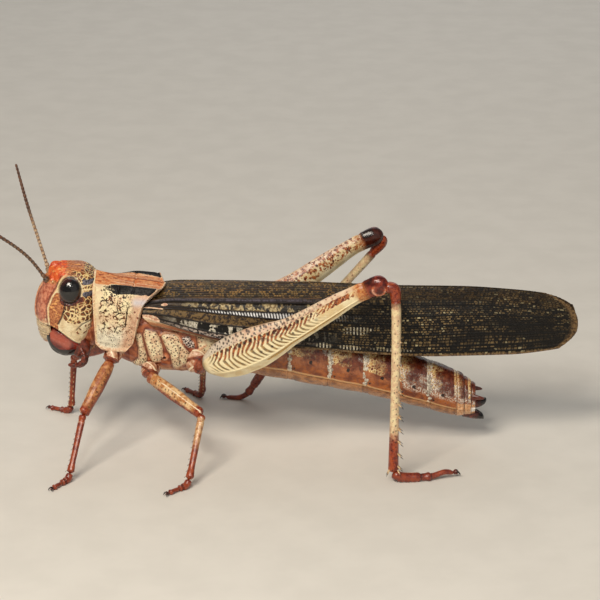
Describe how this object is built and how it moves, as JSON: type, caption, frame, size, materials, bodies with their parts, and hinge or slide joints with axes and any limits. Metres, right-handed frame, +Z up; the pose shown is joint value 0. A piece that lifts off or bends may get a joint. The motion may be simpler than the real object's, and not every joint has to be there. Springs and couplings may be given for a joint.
{
  "type": "migratory locust (grasshopper) display model",
  "caption": "Life-size still model of a migratory locust grasshopper standing on its feet, wings closed, with hind knees raised.",
  "frame": {"origin": "on the floor under the middle of the whole model's bounding box", "axes": "+X runs from the face back towards the wing tips, +Y to the insect's right side, +Z up from the floor"},
  "size_m": [0.0708, 0.0308, 0.0326],
  "materials": {
    "head_shell": "satin shell, orange-red above, cream net over dark brown on the cheeks",
    "mouth": "glossy dark red, black at the biting edge",
    "lip": "satin greyish cream plates",
    "eye": "glossy black",
    "feeler": "satin brown, ringed with cream",
    "pronotum_shell": "satin shell, salmon above, cream below, with a black band on each side",
    "thorax_shell": "satin cream plates speckled with black, red-brown between them",
    "wing_cover": "leathery, dark brown with cream checks and raised veins",
    "wing": "thin, clear and slightly yellow, pleated",
    "abdomen_shell": "glossy red-brown rings with pale beaded edges",
    "leg_shell": "satin pinkish orange with rows of dark dots",
    "hind_leg_shell": "satin cream with raised ribs and dark red knees",
    "foot": "satin dark red with black claws"
  },
  "bodies": {
    "root": {"abdomen_end": "abdomen_shell", "abdomen_segment_1": "abdomen_shell", "abdomen_segment_2": "abdomen_shell", "abdomen_segment_3": "abdomen_shell", "abdomen_segment_4": "abdomen_shell", "abdomen_segment_5": "abdomen_shell", "abdomen_segment_6": "abdomen_shell", "abdomen_segment_7": "abdomen_shell", "abdomen_segment_8": "abdomen_shell", "antenna_left": "feeler", "antenna_right": "feeler", "cercus_left": "abdomen_shell", "cercus_right": "abdomen_shell", "clypeus": "lip", "eye_left": "eye", "eye_right": "eye", "fore_left_coxa": "leg_shell", "fore_left_femur": "leg_shell", "fore_left_tarsus": "foot", "fore_left_tibia": "leg_shell", "fore_right_coxa": "leg_shell", "fore_right_femur": "leg_shell", "fore_right_tarsus": "foot", "fore_right_tibia": "leg_shell", "head": "head_shell", "hind_left_coxa": "leg_shell", "hind_left_femur": "hind_leg_shell", "hind_left_tarsus": "foot", "hind_left_tibia": "hind_leg_shell", "hind_right_coxa": "leg_shell", "hind_right_femur": "hind_leg_shell", "hind_right_tarsus": "foot", "hind_right_tibia": "hind_leg_shell", "hindwing_left": "wing", "hindwing_right": "wing", "labial_palp_left": "mouth", "labial_palp_right": "mouth", "labium": "mouth", "labrum": "lip", "mandible_left": "mouth", "mandible_right": "mouth", "maxillary_palp_left": "mouth", "maxillary_palp_right": "mouth", "mesothorax": "thorax_shell", "metathorax": "thorax_shell", "mid_left_coxa": "leg_shell", "mid_left_femur": "leg_shell", "mid_left_tarsus": "foot", "mid_left_tibia": "leg_shell", "mid_right_coxa": "leg_shell", "mid_right_femur": "leg_shell", "mid_right_tarsus": "foot", "mid_right_tibia": "leg_shell", "neck": "thorax_shell", "ovipositor_lower": "mouth", "ovipositor_upper": "mouth", "pronotum": "pronotum_shell", "prothorax": "thorax_shell", "tegmen_left": "wing_cover", "tegmen_right": "wing_cover"}
  },
  "joints": []
}
